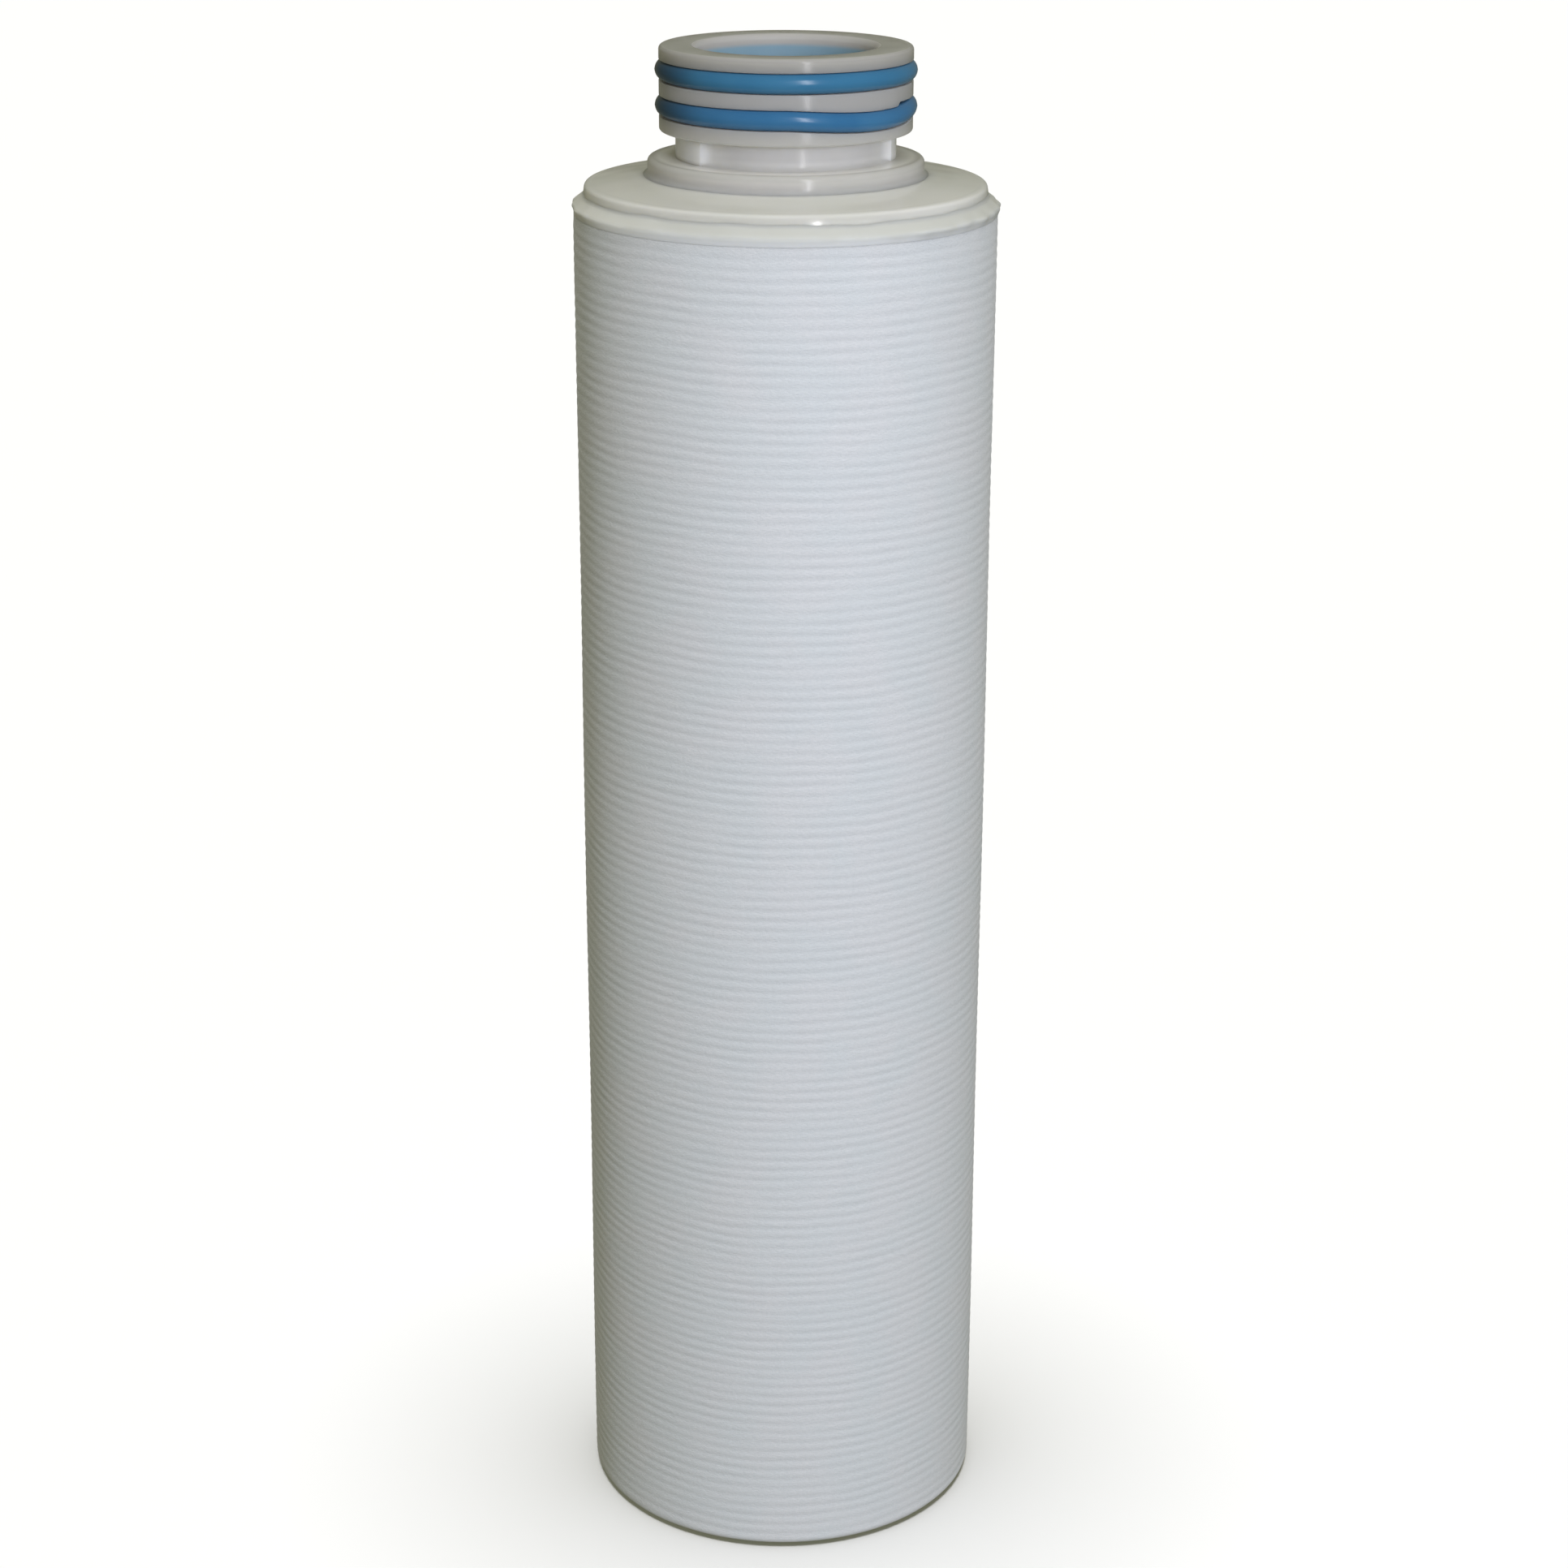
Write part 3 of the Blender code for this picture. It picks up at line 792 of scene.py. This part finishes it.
def make_base(material):
    """The closed end: a flat rim, a shallow recess with one moulded ring, and the gate in the middle."""
    rim = BASE_RADIUS + 0.2 * MM
    thickness = bottom_of("core_wrap") - GAP
    plug_bore = 11.9 * MM
    plug_floor = 2.8 * MM
    plug_top = top_of("bottom_end_cap")
    recess = 27.5 * MM
    recess_depth = 0.8 * MM
    ring_mark = 14.6 * MM
    mark_depth = recess_depth - 0.25 * MM
    gate = 2.4 * MM
    corners = [
        (0.0, plug_floor, 0.0),
        (plug_bore, plug_floor, 0.4 * MM),
        (plug_bore, plug_top, 0.3 * MM),
        (NOSE_RADIUS, plug_top, 0.5 * MM),
        (NOSE_RADIUS, thickness, 0.4 * MM),
        (rim, thickness, 0.4 * MM),
        (rim, 0.0, 0.45 * MM),
        (recess + recess_depth, 0.0, 0.35 * MM),
        (recess, recess_depth, 0.35 * MM),
        (ring_mark + 0.6 * MM, recess_depth, 0.2 * MM),
        (ring_mark + 0.4 * MM, mark_depth, 0.15 * MM),
        (ring_mark - 0.4 * MM, mark_depth, 0.15 * MM),
        (ring_mark - 0.6 * MM, recess_depth, 0.2 * MM),
        (gate + 0.3 * MM, recess_depth, 0.3 * MM),
        (gate, recess_depth / 2, 0.15 * MM),
        (0.0, recess_depth / 2, 0.0),
    ]
    mesh = turned("base_plate", rounded(corners), even_angles(FINE_COLUMNS), closed=False)
    return piece("base_plate", mesh, "bottom_end_cap", material, 40)


def cage_heights(low, high):
    """Where the core's ring ribs start and end, from its foot to its top."""
    rows = 15
    ring_rib = 3.2 * MM
    window = (high - low - (rows + 1) * ring_rib) / rows
    heights = [low]
    for _ in range(rows):
        heights += [heights[-1] + ring_rib, heights[-1] + ring_rib + window]
    heights.append(high)
    return heights


def cage_mesh(name, heights):
    """The core's inner skin: all the cells of the ring ribs, and those of the six standing ribs."""
    columns = 96
    rib_every = 16
    rib_cells = 4
    shape = bmesh.new()
    loops = []
    for height in heights:
        loop = []
        for angle in even_angles(columns):
            place = (CORE_BORE * math.cos(angle), CORE_BORE * math.sin(angle), height)
            loop.append(shape.verts.new(place))
        loops.append(loop)
    for level, (below, above) in enumerate(zip(loops, loops[1:])):
        for column in range(columns):
            on_rib = (column - rib_cells // 2) % rib_every < rib_cells
            if level % 2 == 0 or on_rib:
                after = (column + 1) % columns
                shape.faces.new((below[column], below[after], above[after], above[column]))
    loose = [v for v in shape.verts if not v.link_faces]
    bmesh.ops.delete(shape, geom=loose, context="VERTS")
    return finished_mesh(name, shape)


def make_cage(material):
    """The core: six standing ribs and a ladder of ring ribs, with windows between."""
    low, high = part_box("core_tube")
    mesh = cage_mesh("core_cage", cage_heights(low.z, high.z))
    cage = piece("core_cage", mesh, "core_tube", material, 40)
    shell = cage.modifiers.new("wall", "SOLIDIFY")
    shell.thickness = CORE_RADIUS - CORE_BORE
    shell.offset = 1.0
    shell.use_even_offset = True
    edges = cage.modifiers.new("edges", "BEVEL")
    edges.width = 0.35 * MM
    edges.segments = 2
    edges.limit_method = "ANGLE"
    return cage


def make_wrap(material):
    """The spunbond sheet, rolled once round the core with its free edge lapped over."""
    low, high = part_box("core_wrap")
    corners = [(high.x, high.z), (high.x, low.z), (WRAP_BORE, low.z), (WRAP_BORE, high.z)]

    def shape(r, z, angle):
        free_edge = smooth_step(angle, math.radians(150), math.radians(151.5))
        hidden_edge = smooth_step(angle, math.radians(200), math.radians(206))
        return r - SWELL_ROOM * (1 - free_edge * (1 - hidden_edge)), z

    mesh = turned("core_wrap_sheet", corners, even_angles(FINE_COLUMNS), shape)
    return piece("core_wrap_sheet", mesh, "core_wrap", material, 40)


def strand(shape, radius, start, turns, low, high, thickness, steps):
    """One helical strand of a net, as a closed tube. turns is in radians."""
    sides = 6
    rings = []
    for i in range(steps + 1):
        share = i / steps
        angle = start + turns * share
        centre = Vector((radius * math.cos(angle), radius * math.sin(angle), low + (high - low) * share))
        outward = Vector((math.cos(angle), math.sin(angle), 0.0))
        along = Vector((-math.sin(angle) * radius * turns, math.cos(angle) * radius * turns, high - low))
        across = along.normalized().cross(outward)
        ring = []
        for k in range(sides):
            around = math.tau * k / sides
            offset = outward * math.cos(around) + across * math.sin(around)
            ring.append(shape.verts.new(centre + offset * thickness / 2))
        rings.append(ring)
    for below, above in zip(rings, rings[1:]):
        for k in range(sides):
            after = (k + 1) % sides
            shape.faces.new((below[k], below[after], above[after], above[k]))
    shape.faces.new(list(reversed(rings[0])))
    shape.faces.new(rings[-1])


def make_net(name, node, inner, material):
    """Netting rolled into a tube: one set of strands each way at 45 degrees, the outer set pressed
    a little into the inner one."""
    low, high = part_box(node)
    thickness = (high.x - inner) / 2 * 1.02
    half = thickness / 2
    spacing = 5.6 * MM
    middle = (inner + high.x) / 2
    count = round(math.tau * middle / spacing)
    turns = (high.z - low.z) / middle
    steps = int(turns / math.radians(9))
    shape = bmesh.new()
    for start in even_angles(count):
        for radius, way in ((inner + half, 1), (high.x - half, -1)):
            strand(shape, radius, start, way * turns, low.z + half, high.z - half, thickness, steps)
    bmesh.ops.recalc_face_normals(shape, faces=shape.faces)
    return piece(name, finished_mesh(name, shape), node, material, 50)


def finish_hidden_layers(material):
    """The two media layers that nothing shows keep their CAD shape and take the fibre's finish."""
    for node in ("inner_media_layer", "middle_media_layer"):
        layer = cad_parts[node]
        layer.data.materials.clear()
        layer.data.materials.append(material)


# ---- floor, light and camera --------------------------------------------------------------------


def link_light(light, objects, included):
    """Keeps a light on these objects alone, or off them."""
    receivers = bpy.data.collections.new(light.name + "_receivers")
    for obj in objects:
        receivers.objects.link(obj)
    for entry in receivers.collection_objects:
        entry.light_linking.link_state = "INCLUDE" if included else "EXCLUDE"
    light.light_linking.receiver_collection = receivers


def make_floor():
    """A pale floor under its own overhead light. It throws no light back, so that the cartridge is
    lit by the soft boxes alone."""
    bpy.ops.mesh.primitive_plane_add(size=12.0, location=(0.0, 0.0, cad_low.z - 0.05 * MM))
    floor = bpy.context.object
    floor.name = "floor"
    floor.visible_diffuse = False
    floor.visible_glossy = False
    g = Graph("pale_floor")
    g.set(Base_Color=colour(0.93, 0.93, 0.93), Roughness=0.9, Specular_IOR_Level=0.0)
    floor.data.materials.append(g.material)
    data = bpy.data.lights.new("floor_light", "SUN")
    data.energy = 2.95
    data.color = (0.965, 0.965, 1.0)
    data.angle = math.radians(30)
    light = bpy.data.objects.new("floor_light", data)
    bpy.context.scene.collection.objects.link(light)
    link_light(light, [floor], True)
    return floor


def softbox(name, azimuth, elevation, distance, width, height, power, tint):
    """An area light aimed at the cartridge's upper half. Azimuth 0 is in front, 90 on the right."""
    target = Vector((0.0, 0.0, 0.6 * NOZZLE_TOP))
    a, e = math.radians(azimuth), math.radians(elevation)
    away = Vector((math.sin(a) * math.cos(e), -math.cos(a) * math.cos(e), math.sin(e)))
    data = bpy.data.lights.new(name, "AREA")
    data.shape = "RECTANGLE"
    data.size = width
    data.size_y = height
    data.energy = power
    data.color = tint
    light = bpy.data.objects.new(name, data)
    light.location = target + away * distance
    light.rotation_euler = away.to_track_quat("Z", "Y").to_euler()
    bpy.context.scene.collection.objects.link(light)
    return light


def make_lights(floor, nozzle, plate, seals):
    """A cool key a little right of the camera, a warm top light, and one behind for the far side. The
    seals have a key of their own, so that their left ends stay dark. Only the strips and the glint
    show in reflections: they draw the upright highlights."""
    key = softbox("key", 18.5, 17, 0.9, 0.15, 0.17, 4.8, (0.84, 0.86, 1.0))
    top = softbox("top", 0, 75, 1.5, 1.2, 1.2, 12.4, (1.0, 1.0, 0.96))
    left_fill = softbox("left_fill", -70, 12, 1.3, 0.7, 0.9, 0.4, (1.0, 0.8, 1.0))
    back = softbox("back", 180, -5, 1.3, 0.5, 0.5, 10.0, (1.0, 1.0, 1.0))
    seal_key = softbox("seal_key", 18, 30, 1.0, 0.7, 0.7, 4.0, (0.92, 0.95, 1.0))
    seal_low = softbox("seal_low", 15, -5, 1.2, 1.0, 0.3, 0.8, (0.9, 1.0, 1.0))
    nozzle_fill = softbox("nozzle_fill", -80, 2, 1.3, 0.5, 0.5, 0.35, (1.0, 0.97, 0.93))
    strip = softbox("strip", 18.5, 16, 0.95, 0.06, 1.2, 2.0, (0.96, 0.96, 1.0))
    seal_strip = softbox("seal_strip", 18.5, 28, 1.0, 0.08, 0.7, 3.5, (0.96, 0.96, 1.0))
    glint = softbox("glint", 17, 13.5, 0.9, 0.04, 0.06, 0.45, (1.0, 1.0, 1.0))
    for light in (key, top, left_fill):
        link_light(light, [floor, *seals], False)
    link_light(back, [floor], False)
    link_light(seal_key, seals, True)
    link_light(seal_low, seals, True)
    link_light(nozzle_fill, [nozzle], True)
    link_light(strip, [nozzle], True)
    link_light(seal_strip, seals, True)
    link_light(glint, [plate], True)
    for light in (key, top, left_fill, back, seal_key, seal_low, nozzle_fill):
        light.visible_glossy = False


def make_world():
    """A weak warm light from all round, and a plain pale backdrop where the camera sees past the
    floor."""
    world = bpy.data.worlds.new("studio")
    world.use_nodes = True
    tree = world.node_tree
    soft = tree.nodes["Background"]
    soft.inputs["Color"].default_value = colour(1.0, 1.0, 0.68)
    soft.inputs["Strength"].default_value = 0.175
    backdrop = tree.nodes.new("ShaderNodeBackground")
    backdrop.inputs["Color"].default_value = colour(0.96, 0.96, 0.96)
    path = tree.nodes.new("ShaderNodeLightPath")
    seen = tree.nodes.new("ShaderNodeMixShader")
    tree.links.new(path.outputs["Is Camera Ray"], seen.inputs[0])
    tree.links.new(soft.outputs[0], seen.inputs[1])
    tree.links.new(backdrop.outputs[0], seen.inputs[2])
    tree.links.new(seen.outputs[0], tree.nodes["World Output"].inputs["Surface"])
    bpy.context.scene.world = world
    bpy.context.scene.view_settings.view_transform = "Standard"


def make_camera():
    """The camera, in front and a little above, looking down at the cartridge's upper half."""
    data = bpy.data.cameras.new("camera")
    data.sensor_width = 36.0
    data.lens = 73.2
    camera = bpy.data.objects.new("camera", data)
    stand = Matrix.Translation((0.0, -556.3 * MM, 338.9 * MM))
    tilt = Matrix.Rotation(math.radians(90 - 19.67), 4, "X")
    roll = Matrix.Rotation(math.radians(0.17), 4, "Z")
    camera.matrix_world = stand @ tilt @ roll
    bpy.context.scene.collection.objects.link(camera)
    bpy.context.scene.camera = camera


def main():
    fibre = media_material()
    cap = cap_material()
    rubber = rubber_material()
    net = net_material()
    make_sleeve(fibre)
    plate = make_cap(cap)
    make_bead(bead_material())
    nozzle = make_nozzle(nozzle_material())
    upper_seal = make_ring("upper_seal", "upper_o_ring", rubber, np.zeros_like)
    lower_seal = make_ring("lower_seal", "lower_o_ring", rubber, ring_slip)
    make_base(cap)
    make_cage(core_material())
    make_wrap(wrap_material())
    make_net("inner_netting", "inner_flow_net", INNER_NET_BORE, net)
    make_net("outer_netting", "outer_flow_net", OUTER_NET_BORE, net)
    finish_hidden_layers(fibre)
    make_lights(make_floor(), nozzle, plate, [upper_seal, lower_seal])
    make_world()
    make_camera()


main()
